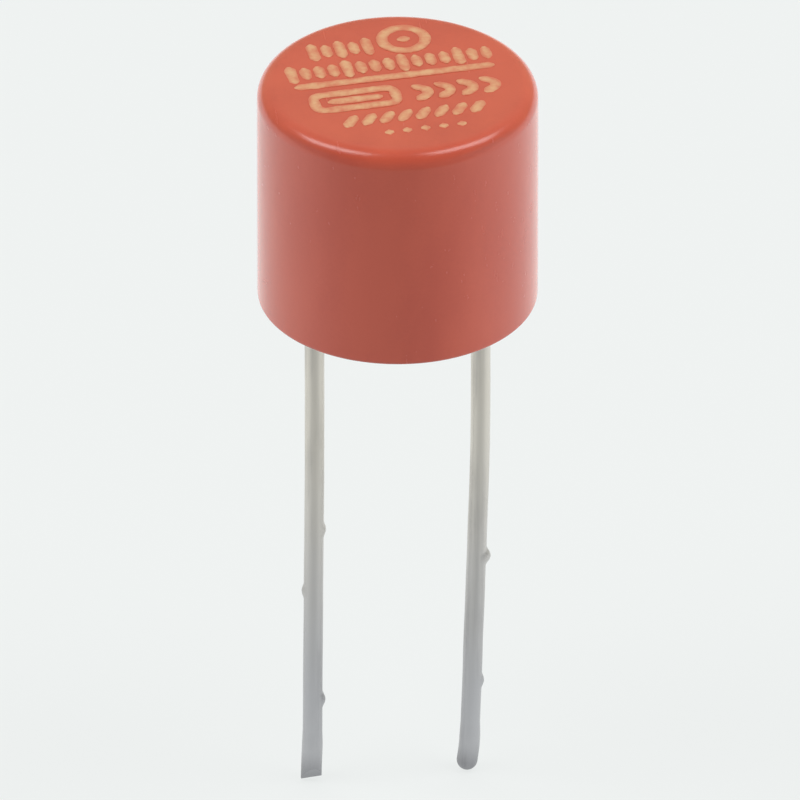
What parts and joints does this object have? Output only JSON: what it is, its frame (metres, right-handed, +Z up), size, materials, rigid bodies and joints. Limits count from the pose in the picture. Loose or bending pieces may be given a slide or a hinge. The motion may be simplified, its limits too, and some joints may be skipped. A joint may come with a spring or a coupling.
{
  "type": "radial lead fuse",
  "caption": "Small round board-mounted fuse: a red moulded cap snapped over a moulded base, with tinned wire leads and a wound fusible element soldered between them inside.",
  "frame": {"origin": "midway between the two leads, in the plane of the board's surface, which is the underside of the base's feet", "axes": "+Z up through the cap's top, +X towards the right lead, so the leads run down along -Z"},
  "size_m": [0.0085, 0.0084, 0.0247],
  "materials": {
    "cap_plastic": "glossy moulded plastic with a soft sheen",
    "base_plastic": "satin moulded plastic",
    "tinned_copper": "satin hot-dipped tin over copper wire",
    "glass_fibre": "opaque white fibre core",
    "fusible_wire": "silvered fine wire",
    "solder": "smooth solder",
    "print_ink": "thin pale yellow print, slightly see-through"
  },
  "bodies": {
    "root": {"cap": "cap_plastic", "base": "base_plastic", "lead_left": "tinned_copper", "lead_right": "tinned_copper", "element_core": "glass_fibre", "element_wire": "fusible_wire", "solder_left": "solder", "solder_right": "solder"}
  },
  "joints": []
}
